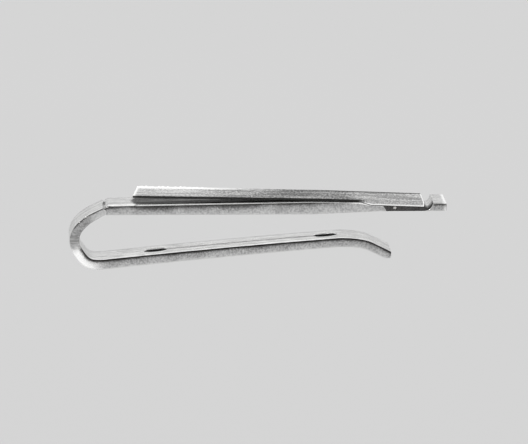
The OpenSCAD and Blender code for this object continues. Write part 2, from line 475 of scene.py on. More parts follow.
class Nodes:
    """Writes a node tree with short calls."""

    def __init__(self, tree: bpy.types.NodeTree) -> None:
        """Empties a tree and keeps it.

        Args:
            tree: The tree to write into.
        """
        tree.nodes.clear()
        self.tree = tree

    def add(self, kind: str, **links: object) -> bpy.types.Node:
        """Adds a node and sets its inputs.

        Args:
            kind: Type of the node.
            **links: Input name, with _ for a space, and a socket or a plain value for it. Names
                that start with set_ are settings of the node itself.

        Returns:
            The new node.
        """
        node = self.tree.nodes.new(kind)
        for name, value in links.items():
            if name.startswith("set_"):
                setattr(node, name[4:], value)
        for name, value in links.items():
            if not name.startswith("set_"):
                key = int(name[1:]) if name[1:].isdigit() else name.replace("_", " ")
                self.link(value, node.inputs[key])
        return node

    def link(self, value: object, socket: bpy.types.NodeSocket) -> None:
        """Joins a socket to an input, or sets a plain value on it.

        Args:
            value: A socket or a plain value.
            socket: The input.
        """
        if isinstance(value, bpy.types.NodeSocket):
            self.tree.links.new(value, socket)
        else:
            socket.default_value = value

    def attribute(self, name: str) -> bpy.types.NodeSocket:
        """Reads one of the piece's own attributes."""
        return self.add("ShaderNodeAttribute", set_attribute_name=name).outputs["Fac"]

    def maths(self, kind: str, a: object, b: object = 0.0, c: object = 0.0) -> bpy.types.NodeSocket:
        """Works out one sum of up to three values."""
        node = self.add("ShaderNodeMath", set_operation=kind, i0=a, i1=b, i2=c)
        return node.outputs[0]

    def fit(self, value: object, span: Span,
            to: Span) -> bpy.types.NodeSocket:
        """Maps a range of values onto another, smoothly and without going past its ends.

        Args:
            value: The value.
            span: Its range.
            to: What the two ends of the range become.

        Returns:
            The mapped value.
        """
        node = self.add("ShaderNodeMapRange", set_interpolation_type="SMOOTHSTEP", Value=value)
        for name, number in zip(("From Min", "From Max", "To Min", "To Max"), (*span, *to)):
            node.inputs[name].default_value = number
        return node.outputs[0]

    def noise(self, x: object, y: object, grain: "Grain") -> bpy.types.NodeSocket:
        """Makes noise over the piece's own surface.

        Args:
            x: Distance along the piece.
            y: Distance across it.
            grain: Size and seed of the noise.

        Returns:
            The noise, from 0 to 1.
        """
        place = self.add("ShaderNodeCombineXYZ", X=self.maths("MULTIPLY", x, grain.along),
                         Y=self.maths("MULTIPLY", y, grain.across), Z=grain.seed)
        return self.add("ShaderNodeTexNoise", Vector=place.outputs[0], Scale=1.0,
                        Detail=grain.detail).outputs[0]


@dataclass(frozen=True)
class Metal:
    """A metal finish: its tones, its gloss and the marks of how it was worked."""

    name: str
    dark: tuple[float, float, float]
    light: tuple[float, float, float]
    # The next two tones are painted light: a dark one for painted shade and a near-white one for
    # painted highlights.
    painted_shade_tone: tuple[float, float, float]
    highlight_tone: tuple[float, float, float]
    gloss_low: float
    gloss_high: float
    face_grain: Grain
    side_grain: Grain
    face_depth: float
    side_depth: float
    side_tone: float
    fleck_depth: float
    grain_height: float
    fleck: Grain = Grain(3.2, 1.4, 15.1)
    blotch: Grain = Grain(0.55, 1.1, 3.1, 4.0, (0.4, 0.68))
    speckle: Grain = Grain(5.5, 5.5, 12.3, 3.0, (0.3, 0.7))
    smear: Grain = Grain(1.3, 2.1, 5.5, 3.0, (0.35, 0.7))
    fine: Grain = Grain(3.0, 3.0, 9.7)
    side_span: Span = (0.36, 0.66)
    side_from: Span = (0.55, 0.98)
    blotch_depth: float = 0.22
    speckle_depth: float = 0.2
    edge_shine: float = 0.9
    fine_height: float = 0.35
    # Where a highlight is painted, the metal is also rougher and less metallic.
    highlight_rough: float = 0.12
    highlight_dull: float = 0.75

    def mark(self, n: Nodes, is_side: bpy.types.NodeSocket, face: bpy.types.NodeSocket,
             edge: bpy.types.NodeSocket) -> bpy.types.NodeSocket:
        """Works out how marked the metal is: scratched faces, mottled sides, broad blotches.

        Args:
            n: The tree's nodes.
            is_side: 1 on the sides and 0 on the faces.
            face: The scratches' noise.
            edge: The sides' noise.

        Returns:
            Share of the dark tone. It is less on the rounded edges, where side is near 0.5.
        """
        along, across, side = (n.attribute(name) for name in ("along", "across", "side"))
        fleck = n.fit(n.noise(along, across, self.fleck), self.fleck.span,
                      (-self.fleck_depth, self.fleck_depth))
        scratched = n.fit(face, self.face_grain.span, (0.0, self.face_depth))
        scratched = n.maths("ADD", scratched, fleck)
        mottled = n.fit(edge, self.side_span, (self.side_tone, self.side_tone + self.side_depth))
        mark = n.add("ShaderNodeMix", Factor=is_side, i2=scratched, i3=mottled).outputs[0]
        blotch = n.noise(along, across, self.blotch)
        mark = n.maths("ADD", mark, n.fit(blotch, self.blotch.span, (0.0, self.blotch_depth)))
        turning = n.maths("MULTIPLY", side, n.maths("SUBTRACT", 1.0, side))
        return n.maths("SUBTRACT", mark, n.maths("MULTIPLY", turning, self.edge_shine))

    def build(self) -> bpy.types.Material:
        """Builds the material from noise over the piece's own attributes.

        Returns:
            The material. Its tone goes from light to dark by the marks, to the painted shade tone
            where shade is low and to the painted highlight tone where a highlight is painted. Where
            it is, the metal is also less metallic and rougher, and the painted shade breaks into
            speckle where it thins out.
        """
        material = bpy.data.materials.new(self.name)
        material.use_nodes = True
        n = Nodes(material.node_tree)
        along, across = n.attribute("along"), n.attribute("across")
        side, shade, painted_highlight = (n.attribute(name) for name in ("side", "shade", "painted_highlight"))
        face_grain = n.noise(along, across, self.face_grain)
        side_grain = n.noise(along, across, self.side_grain)
        is_side = n.fit(side, self.side_from, (0.0, 1.0))
        mark = self.mark(n, is_side, face_grain, side_grain)
        unshaded = n.add("ShaderNodeMix", set_data_type="RGBA", set_clamp_factor=True, Factor=mark,
                      i6=(*self.light, 1), i7=(*self.dark, 1)).outputs[2]
        # Painted highlight: the tone goes towards the near-white tone where a highlight is painted.
        highlight_tone = n.add("ShaderNodeMix", set_data_type="RGBA", Factor=painted_highlight, i6=unshaded,
                       i7=(*self.highlight_tone, 1)).outputs[2]
        # Painted shade: the tone goes to the dark shade tone where shade is low, broken into
        # speckle where it thins out.
        speckle = n.fit(n.noise(along, across, self.speckle), self.speckle.span,
                        (-self.speckle_depth, self.speckle_depth))
        thin = n.maths("MULTIPLY", shade, n.maths("SUBTRACT", 1.0, shade))
        shade_mix = n.maths("MULTIPLY_ADD", speckle, n.maths("MULTIPLY", thin, 4.0), shade)
        tone = n.add("ShaderNodeMix", set_data_type="RGBA", Factor=shade_mix,
                     i6=(*self.painted_shade_tone, 1), i7=highlight_tone).outputs[2]
        gloss = n.fit(n.noise(along, across, self.smear), self.smear.span,
                      (self.gloss_low, self.gloss_high))
        gloss = n.maths("MULTIPLY_ADD", painted_highlight, self.highlight_rough, gloss)
        fine = n.noise(along, across, self.fine)
        height = n.add("ShaderNodeMix", Factor=is_side, i2=face_grain, i3=side_grain).outputs[0]
        height = n.maths("MULTIPLY_ADD", fine, self.fine_height, height)
        bump = n.add("ShaderNodeBump", Strength=1.0, Distance=self.grain_height * MM, Height=height)
        metallic = n.maths("MULTIPLY_ADD", painted_highlight, -self.highlight_dull, 1.0)
        shader = n.add("ShaderNodeBsdfPrincipled", Base_Color=tone, Metallic=metallic,
                       Roughness=gloss, Specular_Tint=tone, Normal=bump.outputs[0])
        n.add("ShaderNodeOutputMaterial", Surface=shader.outputs[0])
        return material


@dataclass(frozen=True)
class Finishes:
    """The metals of the clip."""

    polished: Metal = Metal(
        name="polished_silver", dark=(0.36, 0.36, 0.365), light=(0.9, 0.9, 0.895),
        painted_shade_tone=(0.052, 0.05, 0.049), highlight_tone=(0.985, 0.985, 0.98), gloss_low=0.12,
        gloss_high=0.24, face_grain=Grain(0.2, 0.9, 1.3, 4.0), face_depth=0.2,
        side_grain=Grain(3.6, 3.4, 7.9, 4.0), side_depth=0.52, side_tone=0.08, fleck_depth=0.05,
        grain_height=0.004)
    brushed: Metal = Metal(
        name="brushed_silver", dark=(0.36, 0.36, 0.36), light=(0.78, 0.78, 0.775),
        painted_shade_tone=(0.028, 0.028, 0.027), highlight_tone=(0.985, 0.985, 0.98), gloss_low=0.24,
        gloss_high=0.36, face_grain=Grain(0.12, 0.85, 1.3, 4.0), face_depth=0.95,
        side_grain=Grain(4.0, 4.0, 7.9, 4.0), side_depth=0.8, side_tone=0.1, fleck_depth=0.6,
        grain_height=0.012)
    steel: Metal = Metal(
        name="spring_steel", dark=(0.38, 0.375, 0.36), light=(0.78, 0.77, 0.75),
        painted_shade_tone=(0.08, 0.078, 0.075), highlight_tone=(0.9, 0.9, 0.88), gloss_low=0.2,
        gloss_high=0.34, face_grain=Grain(0.4, 7.0, 1.3, 4.0), face_depth=0.4,
        side_grain=Grain(3.0, 0.6, 7.9, 4.0), side_depth=0.4, side_tone=0.0, fleck_depth=0.1,
        grain_height=0.003)


# ---------------------------------------------------------------- the pieces


@dataclass(frozen=True)
class Layout:
    """Sizes that several pieces share, in millimetres and degrees."""

    width: float = 10.0
    plate_length: float = 51.4
    tip_rise: float = 0.4
    tip_block: float = 2.0
    hinge_back: float = 7.8
    pin_height: float = 0.46
    heel_length: float = 4.4
    ear_length: float = 8.0
    ear_flare: float = 1.6
    ear_height: float = 0.72
    leaf_thickness: float = 0.35
    knee: Span = (32.4, 2.04)
    free_tilt: float = 1.15
    knee_tilt: float = 2.2
    opening: float = 7.0
    gap: float = 0.06
    side_gap: float = 0.08

    @property
    def half(self) -> float:
        """Half the clip's width."""
        return self.width / 2

    @property
    def hinge(self) -> Span:
        """Middle of the hinge pin, as (x, z)."""
        return self.plate_length - self.hinge_back, self.tip_rise + self.pin_height

    @property
    def heel_x(self) -> float:
        """End of the leaf's heel."""
        return self.hinge[0] + self.heel_length

    @property
    def ear_x(self) -> float:
        """Start of the ears' full depth."""
        return self.heel_x - self.ear_length

    def under(self, x: np.ndarray) -> np.ndarray:
        """Finds the leaf's underside, two straight slopes that meet at the knee.

        Args:
            x: Places along the clip.

        Returns:
            Heights.
        """
        slope = np.where(x < self.knee[0], math.tan(math.radians(self.free_tilt)),
                         math.tan(math.radians(self.knee_tilt)))
        return self.knee[1] - (x - self.knee[0]) * slope

    def heel_relief(self, air: float) -> Span:
        """Finds where the underside over the pin comes to when the leaf is open.

        Args:
            air: Gap left below it.

        Returns:
            The place, as (x, z).
        """
        turn, (x, z) = math.radians(self.opening), self.hinge
        reach = float(self.under(np.array(x))) - z
        return x + reach * math.sin(turn), z + reach * math.cos(turn) - air


@dataclass
class SpringStrip:
    """The bent strip: the bend below the plate and the long slotted leg."""

    layout: Layout
    bend_thickness: float = 1.1
    leg_thickness: float = 1.55
    lip_thickness: float = 1.4
    drop: float = 8.2
    seam_rise: float = 0.67
    heading: float = 206.0
    lead: float = 1.2
    bend_arcs: tuple[Span, ...] = (
        (2.3, 2.5), (2.7, 22), (3.2, 65.5), (2.2, 17.5), (1.4, 39.5), (1.9, 13))
    leg_arcs: tuple[Span, ...] = (
        (35.0, -1.7), (1.2, -5.5), (2.6, -8), (1.6, -17), (3.3, 0), (1.0, 0))
    hole: float = 3.6
    slit: float = 1.0
    slit_start: float = 7.8
    slit_length: float = 25.7
    lip_flat: float = 0.2
    edge_round: float = 0.24
    side_inset: float = 0.02
    side_wander: Wander = Wander(0.012, 11, 17.0)
    edge_wander: Wander = Wander(0.05, 12, 9.0)
    # The slot's lip is rounded by the first number, or by the second as a share of its width.
    slot_round: Span = (0.12, 0.35)
    # The bend's outer corner keeps this share of its rounding, up to the start of the stretch.
    sharp_share: float = 0.15
    sharp_until: Span = (6.2, 8.4)
    # The faces fall away by this much towards the sides, between these distances from them.
    face_fall: float = 0.05
    face_fall_at: Span = (1.3, 0.1)
    # Roundings of the cuts at the end of the lip, and how far the lip goes past its path.
    lip_blend: Span = (0.06, 0.03)
    lip_over: float = 0.05
    # Painted light: lines are painted dark reflections along the edges, as (reach, strength, seed);
    # the bend's upper part and the slot's walls get painted shade and the bend's lower part a
    # painted highlight. Stretches run from one place to another.
    flank_at: Span = (0.36, 0.2)
    inner_line: tuple[float, float, int] = (0.33, 0.97, 13)
    inner_from: Span = (7.2, 9.2)
    spread_line: tuple[float, float, int] = (0.95, 0.24, 14)
    spread_from: Span = (8.0, 13.0)
    outer_line: tuple[float, float, int] = (0.17, 0.8, 15)
    outer_until: Span = (4.4, 7.2)
    bend_shade: float = 0.44
    bend_shade_band: Band = Band(1.6, 3.4, 6.9, 8.3)
    lit: float = 0.9
    lit_band: Band = Band(7.6, 9.0, 11.5, 14.0)
    slot_shade: float = 0.85

    def __post_init__(self) -> None:
        """Scales the bend to its drop and joins the arcs into one path."""
        turn, fallen = math.radians(self.heading), 0.0
        for length, degrees in self.bend_arcs:
            bend = math.radians(degrees)
            fallen += length / bend * (math.cos(turn) - math.cos(turn + bend))
            turn += bend
        scale = -self.drop / fallen
        arcs = tuple((length * scale, degrees) for length, degrees in self.bend_arcs)
        self.bend_length = sum(length for length, _ in arcs)
        self.leg_length = sum(length for length, _ in self.leg_arcs) - self.leg_arcs[-1][0]
        turn = math.radians(self.heading)
        start = (-self.lead * math.cos(turn), self.seam_rise - self.lead * math.sin(turn))
        self.path = Path(start, self.heading, ((self.lead, 0.0), *arcs, *self.leg_arcs))

    def thickness(self, s: np.ndarray) -> np.ndarray:
        """Finds the strip's thickness, growing over half the bend and thinning to the lip.

        Args:
            s: Distances from the seam.

        Returns:
            Thicknesses.
        """
        stops = [0, self.bend_length / 2, self.bend_length, self.bend_length + self.leg_length]
        sizes = [self.bend_thickness, self.leg_thickness, self.leg_thickness, self.lip_thickness]
        return np.interp(s, stops, sizes)

    def slot_half(self, s: np.ndarray) -> np.ndarray:
        """Finds half the width of the slot: a narrow slit between two round holes.

        Args:
            s: Distances from the seam.

        Returns:
            The larger of the slit's half width and sqrt(r^2 - d^2) at d from a hole's middle.
        """
        first = self.bend_length + self.slit_start
        last = first + self.slit_length
        r = self.hole / 2
        holes = [np.sqrt(np.clip(r * r - (s - c) ** 2, 0, None)) for c in (first, last)]
        inside = (s > first) & (s < last)
        return np.maximum(np.maximum(*holes), np.where(inside, self.slit / 2, 0.0))

    def placed(self, s: np.ndarray, h: np.ndarray) -> np.ndarray:
        """Finds how far along the path each point lies, with both ends of the strip cut.

        The seam is an upright cut. The lip ends at the nearest of an upright cut, a level cut
        and its full length, and the corners between them are rounded off.

        Args:
            s: Distance of each row from the seam.
            h: Height of each point above the strip's middle.

        Returns:
            Distances from the seam, shaped like h.
        """
        place = np.maximum(s[:, None] + 0 * h, -h * math.tan(math.radians(self.heading)))
        end = self.bend_length + self.leg_length
        turn = math.radians(self.heading + sum(turn for _, turn in self.bend_arcs + self.leg_arcs))
        upright = end + h * math.tan(turn)
        level = end - (h * math.cos(turn) + self.lip_flat) / math.sin(turn)
        corner, edge = self.lip_blend
        stop = soft_min(soft_min(upright, level, corner), end + self.lip_over + 0 * h, corner)
        return soft_min(place, stop, edge)

    def tones(self, along: np.ndarray, flank: np.ndarray, below: np.ndarray, above: np.ndarray,
              hole: np.ndarray) -> tuple[np.ndarray, np.ndarray]:
        """Finds where the strip gets painted shade and painted highlights.

        Args:
            along: Distance of each point from the seam.
            flank: 1 on the long side faces.
            below: Distance below the inner face.
            above: Distance above the outer face.
            hole: 1 on the slot's walls.

        Returns:
            Painted shade and painted highlight.
        """
        # Painted dark reflection lines along the edges, painted shade on the bend's upper part and
        # in the slot, and a painted highlight on the bend's lower part.
        inner = ease(along, *self.inner_from) * (1 - painted_edge_line(below, along, *self.inner_line))
        spread = ease(along, *self.spread_from) * (1 - painted_edge_line(below, along, *self.spread_line))
        outer = (1 - ease(along, *self.outer_until)) * (1 - painted_edge_line(above, along, *self.outer_line))
        bend_shade = self.bend_shade * self.bend_shade_band.at(along)
        dark = np.maximum(np.maximum(inner, outer), np.maximum(spread, bend_shade))
        shade = (1 - self.slot_shade * hole) * (1 - flank * dark)
        return shade, self.lit * flank * self.lit_band.at(along) * (1 - inner)

    def loops(self, s: np.ndarray, squeeze: np.ndarray, lean: np.ndarray) -> Grid:
        """Sweeps half the strip's section along the path.

        Args:
            s: Distance of each row from the seam.
            squeeze: Share of the section kept in each row, which closes the lip's end.
            lean: How much wider the strip is on its outer face, in each row.

        Returns:
            The grid of one half.
        """
        half = self.layout.half - self.side_inset + self.side_wander.at(s)
        t = self.thickness(s) / 2
        slot = self.slot_half(s)
        lip = np.minimum(self.slot_round[0], self.slot_round[1] * slot)
        rounding = self.edge_round + self.edge_wander.at(s)
        sharp = self.sharp_share + (1 - self.sharp_share) * ease(s, *self.sharp_until)
        points, edge = outline([
            Corner(slot, t, lip, 14), Corner(half - lean, t, rounding, 5),
            Corner(half + lean, -t, rounding * sharp, 14), Corner(slot, -t, lip, 5)], len(s))
        y, h = np.moveaxis(points * squeeze[:, None, None], -1, 0)
        h = h - np.sign(h) * self.face_fall * towards(y, half, *self.face_fall_at)
        place = self.placed(s, h)
        centre, normal = self.path.at(place + self.lead)
        x, z = centre[..., 0] + normal[..., 0] * h, centre[..., 1] + normal[..., 1] * h
        below, above = t[:, None] - points[..., 1], t[:, None] + points[..., 1]
        hole = (edge == edge.max())[None] * (slot > 0)[:, None]
        shade, painted_highlight = self.tones(s[:, None] + 0 * h, towards(y, half, *self.flank_at), below,
                                 above, hole)
        return Grid.from_loops(x, y, z, place, shade, painted_highlight, middle_wall(edge, slot))


@dataclass
class BendSpring:
    """The bend below the plate, which joins it to the leg."""

    strip: SpringStrip
    rows: int = 150
    # The first rows lie this far before the seam, where the upright cut stops them.
    early: float = 0.4
    # How much wider the outer face gets from the start to the end of the stretch.
    lean: float = 0.05
    lean_at: Span = (6.0, 9.5)

    def make(self, origin: np.ndarray) -> bpy.types.Object:
        """Makes the bend.

        Args:
            origin: Profile frame's origin in the row frame.

        Returns:
            The piece.
        """
        strip = self.strip
        s = np.linspace(-self.early, strip.bend_length, self.rows)
        lean = self.lean * (ease(s, *self.lean_at) - 0.5)
        grid = strip.loops(s, np.ones_like(s), -lean)
        obj = make_piece("bend_spring_strip", [grid, grid.mirrored()], origin)
        ends, _ = strip.path.at(np.array([strip.lead, strip.lead + strip.bend_length]))
        start, end = ([(p[0] + origin[0]) * MM, 0, (p[1] + origin[2]) * MM] for p in ends)
        end[0] = start[0]
        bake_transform(obj)
        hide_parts("bend_spring")
        return obj


@dataclass
class BackLeg:
    """The long leg with its slit, two round holes and turned-down lip."""

    strip: SpringStrip
    # The leg starts with the bend's lean, and loses it over this length.
    lean: float = 0.025
    lean_length: float = 6.0
    # Rows are close together over the lip, and some lie past its end, where they close it.
    lip_length: float = 1.2
    past: Span = (0.1, 0.6)
    closing: int = 10

    def make(self, origin: np.ndarray) -> bpy.types.Object:
        """Makes the leg.

        Args:
            origin: Profile frame's origin in the row frame.

        Returns:
            The piece.
        """
        strip = self.strip
        start, r = strip.bend_length, strip.hole / 2
        first = start + strip.slit_start
        last = first + strip.slit_length
        end = start + strip.leg_length
        reach = math.sqrt(r * r - (strip.slit / 2) ** 2)
        s = stations((start, first - r, 24), (first - r, first + reach, 44),
                     (first + reach, last - reach, 90), (last - reach, last + r, 44),
                     (last + r, end - self.lip_length, 50),
                     (end - self.lip_length, end + self.past[0], 26))
        s_all = np.append(s, np.full(self.closing, end + self.past[1]))
        squeeze = np.append(np.ones_like(s), np.linspace(1, 0, self.closing + 1)[1:])
        lean = self.lean * (1 - ease(s_all, start, start + self.lean_length))
        grid = strip.loops(s_all, squeeze, -lean)
        obj = make_piece("back_leg_slotted", [grid, grid.mirrored()], origin)
        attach(obj, Body.LEG.value)
        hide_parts("back_leg")
        return obj


@dataclass
class FrontPlate:
    """The thick plate with the leaf's seat, the ears' pockets and the lug's window."""

    layout: Layout
    root: float = 1.42
    crown: float = 1.92
    crown_back: float = 20.0
    tip: float = 1.25
    pocket_lip: float = 0.05
    swing_back: float = 1.8
    swing_slant: float = 0.5
    lug_width: float = 3.0
    lug_size: float = 0.96
    end_round: float = 0.16
    # Rows either side of a step are this far apart.
    step: float = 0.008
    # The slope at the seam, as (length, fall).
    seam_slope: Span = (0.34, 0.26)
    side_wander: Wander = Wander(0.012, 21, 13.0)
    top_round: float = 0.14
    top_wander: Wander = Wander(0.04, 22, 7.0)
    # Past the shoulder the top's edge is rounder, and the pockets' edges are sharp.
    shoulder: Span = (3.5, 5.0)
    shoulder_round: float = 0.07
    pocket_round: float = 0.03
    core_round: float = 0.05
    low_round: float = 0.16
    low_wander: Wander = Wander(0.03, 23, 8.0)
    # The top falls by this much over the stretch across it, until the stretch along it.
    crowning: float = 0.09
    crowned_at: Span = (3.6, 4.9)
    crowned_until: Span = (36.0, 38.3)
    # Painted light: the pockets get painted shade and the top under the leaf painted shadow in
    # streaks; lines are painted dark reflections along the side, as (strength, seed); the rim and
    # the tip's end get painted highlights. Stretches run from one place to another.
    pocket_shade: float = 0.93
    pocket_shade_depth: float = 0.14
    rim_at: Span = (3.7, 4.15)
    covered: Band = Band(4.3, 4.9, 39.0, 40.0)
    covered_skew: float = 0.15
    streaks: Span = (0.74, 0.34)
    flank_at: Span = (0.36, 0.2)
    line: tuple[float, int] = (0.95, 26)
    line_reach: tuple[float, float, float] = (0.5, 0.18, 0.2)
    line_fade: Span = (12.0, 34.0)
    spread: tuple[float, float, int] = (1.1, 0.22, 27)
    fade: float = 0.75
    fade_from: Span = (30.0, 38.0)
    bright: Span = (0.09, 0.03)
    tip_shine: float = 0.8

    @property
    def wall(self) -> float:
        """Where the block at the tip starts."""
        return self.layout.plate_length - self.layout.tip_block

    @property
    def swing(self) -> float:
        """Where the pockets drop for the heel's swing."""
        return self.layout.hinge[0] - self.swing_back

    @property
    def pocket_start(self) -> float:
        """Where the ears' pockets start."""
        return self.layout.ear_x - self.layout.side_gap - self.layout.ear_flare

    @property
    def window(self) -> float:
        """Half the length of the lug's window."""
        return self.lug_size / 2 + self.layout.side_gap

    def top(self, x: np.ndarray) -> np.ndarray:
        """Finds the plate's top before it is cut: a rise to the crown and a fall to the tip."""
        length, rise = self.layout.plate_length, self.layout.tip_rise
        return np.interp(x, [0, length - self.crown_back, length],
                         [self.root, self.crown, rise + self.tip])

    def low(self, x: np.ndarray) -> np.ndarray:
        """Finds the plate's underside, flat and then rising to the tip."""
        length = self.layout.plate_length
        return np.interp(x, [0, length - self.crown_back, length - self.crown_back / 2],
                         [0, 0, self.layout.tip_rise])

    def cuts(self, x: np.ndarray) -> tuple[np.ndarray, np.ndarray]:
        """Finds the floors of the leaf's seat and of the ears' pockets.

        The seat follows the leaf at rest, then falls as steeply as the open leaf's heel. Both
        end in a quarter round below the block at the tip, and neither goes above the plate.

        Args:
            x: Places along the plate.

        Returns:
            Heights of the middle part and of the outer strips.
        """
        lay = self.layout
        wall, swing = self.wall, self.swing
        floor = lay.tip_rise + self.pocket_lip
        r = wall - lay.heel_x
        rise = r - np.sqrt(np.clip(r * r - np.clip(x - lay.heel_x, 0, r) ** 2, 0, None))
        floor_x = np.where(x < wall, floor + rise, NO_CUT)
        relief = lay.heel_relief(2 * lay.gap)
        slope = math.tan(math.radians(lay.knee_tilt + lay.opening))
        kx = lay.knee[0]
        seat = np.interp(x, [kx, relief[0], wall],
                         [lay.knee[1] - lay.gap, relief[1], relief[1] - (wall - relief[0]) * slope])
        seat = np.where(x < kx, NO_CUT, np.maximum(seat, floor_x))
        drop = lay.ear_height - lay.leaf_thickness + lay.side_gap
        start = lay.ear_x - lay.side_gap
        stops = [start - lay.ear_flare, start, swing, swing + self.swing_slant, wall]
        under = lay.under(np.array(stops))
        levels = [under[0] - lay.side_gap, under[1] - drop, under[2] - drop, floor, floor]
        pocket = np.where(x < stops[0], NO_CUT, np.maximum(np.interp(x, stops, levels), floor_x))
        top = self.top(x)
        middle = np.minimum(top, seat)
        return middle, np.minimum(middle, pocket)

    def rows(self) -> tuple[np.ndarray, np.ndarray, np.ndarray]:
        """Places the rows: the plate's length, its rounded end and the cap that closes it.

        Returns:
            For each row its place, its inset and the share of the section that it keeps.
        """
        lay, tiny, swing, start = self.layout, self.step, self.swing, self.pocket_start
        hx, window, slope = lay.hinge[0], self.window, self.seam_slope[0]
        slant, last = swing + self.swing_slant, lay.plate_length
        x = stations((0, slope, 6), (slope, lay.knee[0], 110), (lay.knee[0], start - tiny, 16),
                     (start, swing, 18), (swing, slant, 6), (slant, hx - window - tiny, 6),
                     (hx - window, hx + window, 8), (hx + window + tiny, lay.heel_x, 18),
                     (lay.heel_x, self.wall, 26), (self.wall + tiny, last - self.end_round, 14))
        turn = np.linspace(0, np.pi / 2, 8)[1:]
        cap = np.linspace(1, 0, 5)[1:]
        rows = np.concatenate([x, last - self.end_round * (1 - np.sin(turn)), cap * 0 + last])
        inset = np.concatenate([x * 0, self.end_round * (1 - np.cos(turn)),
                                cap * 0 + self.end_round])
        return rows, inset, np.concatenate([x * 0 + 1, turn * 0 + 1, cap])

    def tones(self, x: np.ndarray, y: np.ndarray, z: np.ndarray, on_top: np.ndarray,
              flank: np.ndarray, below: np.ndarray, low: np.ndarray
              ) -> tuple[np.ndarray, np.ndarray]:
        """Finds where the plate gets painted shade and painted highlights.

        Args:
            x: Places along the plate.
            y: Places across it.
            z: Heights.
            on_top: True on the top faces.
            flank: 1 on the long side faces.
            below: Distance below the top's edge.
            low: Height of the underside at each row.

        Returns:
            Painted shade and painted highlight. The pockets get painted shade, the top under the
            leaf painted shadow, and a painted dark reflection line runs along the side just below
            the bright edge, which is partly a painted highlight.
        """
        lay, start, wall = self.layout, self.pocket_start, self.wall
        # Painted shade in the pockets under the ears.
        pocket = on_top * ease(x, start, start + 0.6) * (x <= wall + 0.3)
        pocket_shade = self.pocket_shade * pocket * ease(self.top(x) - z, 0.0, self.pocket_shade_depth)
        # Painted shadow in streaks on the top under the leaf, kept off the rim.
        near = ease(y, *self.rim_at)
        covered = self.covered.at(x - self.covered_skew * (y - lay.half), x)
        streaks = self.streaks[0] + self.streaks[1] * waves(x * 0.1 + y * 1.3, 25, 3.0)
        shadow = on_top * covered * (1 - near) * streaks
        # A painted dark reflection line along the side, just below the edge.
        fade = 1 - self.fade * ease(x, *self.fade_from) * (1 - ease(x, wall - 0.2, wall + 0.2))
        past = ease(x, *self.shoulder)
        reach = self.line_reach[0] + self.line_reach[1] * past
        reach = reach - self.line_reach[2] * ease(x, *self.line_fade)
        bright = (self.bright[0] + self.bright[1] * past) * ease(x, 0.1, 1.0)
        under = ease(below, bright, bright + 0.06) * fade
        line = under * (1 - painted_edge_line(below, x, reach, *self.line))
        spread = under * (1 - painted_edge_line(below, x, *self.spread))
        shade = (1 - pocket_shade) * (1 - shadow) * (1 - flank * np.maximum(line, spread))
        # Painted highlights along the rim under the leaf and at the tip's end.
        painted_highlight = covered * near * (1 - ease(below, bright - 0.02, bright + 0.03))
        painted_highlight = painted_highlight * (z > low[:, None] + 0.4)
        end = lay.plate_length
        return shade, np.maximum(painted_highlight, self.tip_shine * ease(x, end - 0.7, end - 0.15))

    def half_grid(self) -> Grid:
        """Draws the half of the plate on the far side.

        Returns:
            The grid.
        """
        lay, hx = self.layout, self.layout.hinge[0]
        rows, inset, keep = self.rows()
        middle, outer = self.cuts(rows)
        low = self.low(rows) + inset
        slope, fall = self.seam_slope
        fallen = fall * np.clip(1 - rows / slope, 0, 1)
        middle, outer = middle - inset - fallen, outer - inset - fallen
        half = lay.half - inset + self.side_wander.at(rows) - self.side_wander.size
        core = np.minimum(lay.half - lay.leaf_thickness - lay.side_gap, half - 0.3)
        slot = np.where(np.abs(rows - hx) < self.window + self.step / 2,
                        self.lug_width / 2 + lay.side_gap, 0)
        rounding = self.top_round + self.shoulder_round * ease(rows, *self.shoulder)
        rounding = rounding + self.top_wander.at(rows)
        rounding = np.where((rows > self.pocket_start) & (rows < self.wall), self.pocket_round,
                            rounding)
        points, edge = outline([
            Corner(slot, middle, 0.0, 12), Corner(core, middle, self.core_round, 4),
            Corner(core, outer, 0.0, 4), Corner(half, outer, rounding, 6),
            Corner(half, low, self.low_round + self.low_wander.at(rows), 4),
            Corner(core, low, 0.0, 12), Corner(slot, low, 0.0, 4)], len(rows))
        y, z = points[..., 0], points[..., 1]
        crowned = (edge <= 3)[None] * (1 - ease(rows, *self.crowned_until))[:, None]
        z = z - (self.crowning * crowned * ease(y, *self.crowned_at)
                 * ease(z, low[:, None] + 0.3, middle[:, None]))
        mid = ((middle + low) / 2)[:, None]
        y, z = y * keep[:, None], mid + (z - mid) * keep[:, None]
        x = rows[:, None] + 0 * y
        on_top = (edge <= 2)[None] & (y < half[:, None] - 0.03)
        flank = towards(y, half, *self.flank_at) * (~on_top)
        shade, painted_highlight = self.tones(x, y, z, on_top, flank, outer[:, None] - z, low)
        return Grid.from_loops(x, y, z, x, shade, painted_highlight, middle_wall(edge, slot))

    def make(self, origin: np.ndarray) -> bpy.types.Object:
        """Makes the plate.

        Args:
            origin: Profile frame's origin in the row frame.

        Returns:
            The piece. Painted shade in the notch before the tip is kept to its near side, and its
            far side is lightened to the unshaded tone.
        """
        far = self.half_grid()
        near = far.mirrored()
        notch = self.layout.heel_x
        for grid in (far, near):
            x, y = grid.points[..., 0], grid.points[..., 1]
            # The far side of the notch is lifted out of its painted shade.
            unshaded = ease(y, -4.4, 0.5) * ease(x, notch + 0.1, notch + 0.6)
            grid.shade = grid.shade + (1 - grid.shade) * unshaded
        obj = make_piece("front_plate_body", [far, near], origin)
        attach(obj, Body.PLATE.value)
        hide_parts("front_plate")
        return obj


